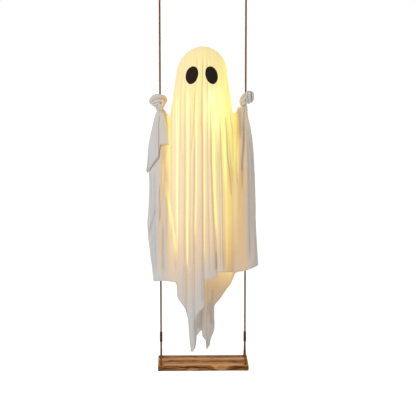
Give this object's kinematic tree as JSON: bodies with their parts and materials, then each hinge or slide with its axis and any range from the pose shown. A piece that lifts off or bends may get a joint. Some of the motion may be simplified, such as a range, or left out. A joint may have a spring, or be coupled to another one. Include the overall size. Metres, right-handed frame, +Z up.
{
  "type": "lit cloth ghost on a rope swing",
  "caption": "White cloth ghost, lit from inside, that holds the two ropes of a hanging wooden swing and is rocked by a motor-driven weight.",
  "frame": {"origin": "on the line about which the swing swings, midway between the two ceiling hooks, at the middle of the hook wire under the rope eyes", "axes": "+Z up, -Y to the ghost's front (its eyes), +X to the right as seen from the front, along the swing's hinge line"},
  "size_m": [0.379, 0.2174, 1.4008],
  "materials": {
    "gown_cloth": "matte",
    "eye_felt": "matte",
    "rope_fibre": "matte",
    "rope_binding": "matte",
    "seat_wood": "satin",
    "steel": "satin",
    "plate_paint": "satin",
    "form_plastic": "satin",
    "housing_plastic": "matte",
    "gear_plastic": "satin",
    "cell_wrap": "gloss",
    "board_green": "satin",
    "lamp_glass": "gloss",
    "lead_rubber": "satin",
    "switch_plastic": "satin"
  },
  "bodies": {
    "ceiling": {"ceiling_plate_left": "plate_paint", "ceiling_hook_left": "steel", "plate_screw_left_1": "steel", "plate_screw_left_2": "steel", "ceiling_plate_right": "plate_paint", "ceiling_hook_right": "steel", "plate_screw_right_1": "steel", "plate_screw_right_2": "steel"},
    "ghost_swing": {"rope_clamp_left": "steel", "arm_wire_left": "steel", "rope_left": "rope_fibre", "top_binding_left": "rope_binding", "low_binding_left": "rope_binding", "hand_knot_left": "gown_cloth", "side_drape_left": "gown_cloth", "eye_patch_left": "eye_felt", "shaft_bush_left": "gear_plastic", "rope_clamp_right": "steel", "arm_wire_right": "steel", "rope_right": "rope_fibre", "top_binding_right": "rope_binding", "low_binding_right": "rope_binding", "hand_knot_right": "gown_cloth", "side_drape_right": "gown_cloth", "eye_patch_right": "eye_felt", "shaft_bush_right": "gear_plastic", "gown_front": "gown_cloth", "gown_back": "gown_cloth", "sleeve_flap": "gown_cloth", "seat_board": "seat_wood", "head_form": "form_plastic", "neck_post": "steel", "cover_screw_1": "steel", "cover_screw_2": "steel", "cover_screw_3": "steel", "cover_screw_4": "steel", "motor": "steel", "cell_contact_low": "steel", "cell_contact_top": "steel", "housing_back": "housing_plastic", "housing_front": "housing_plastic", "lamp_socket": "housing_plastic", "battery_cell_1": "cell_wrap", "battery_cell_2": "cell_wrap", "control_board": "board_green", "lamp_globe": "lamp_glass", "lamp_lead": "lead_rubber"},
    "weight_drive": {"drive_shaft": "steel", "drive_gear": "gear_plastic", "weight_arm": "steel", "swing_weight": "steel"},
    "pinion": {"motor_pinion": "gear_plastic"},
    "switch": {"power_switch": "switch_plastic"},
    "door": {"battery_door": "housing_plastic"}
  },
  "joints": [
    {"name": "swing_hinge", "type": "hinge", "parent": "ceiling", "child": "ghost_swing", "pos_m": [0, 0, 0], "axis": [1, 0, 0], "range_deg": [-20, 20]},
    {"name": "weight_swing", "type": "hinge", "parent": "ghost_swing", "child": "weight_drive", "pos_m": [0, 0, -0.5282], "axis": [1, 0, 0], "range_deg": [-20, 20]},
    {"name": "pinion_spin", "type": "hinge", "parent": "ghost_swing", "child": "pinion", "pos_m": [0, 0, -0.5], "axis": [1, 0, 0], "range_deg": [-74, 74]},
    {"name": "switch_slide", "type": "slide", "parent": "ghost_swing", "child": "switch", "axis": [1, 0, 0], "range_m": [0, 0.004]},
    {"name": "door_slide", "type": "slide", "parent": "ghost_swing", "child": "door", "axis": [0, 0, -1], "range_m": [0, 0.052]}
  ],
  "couplings": [
    {"joint": "pinion_spin", "follows": "weight_swing", "ratio": -3.6667}
  ]
}
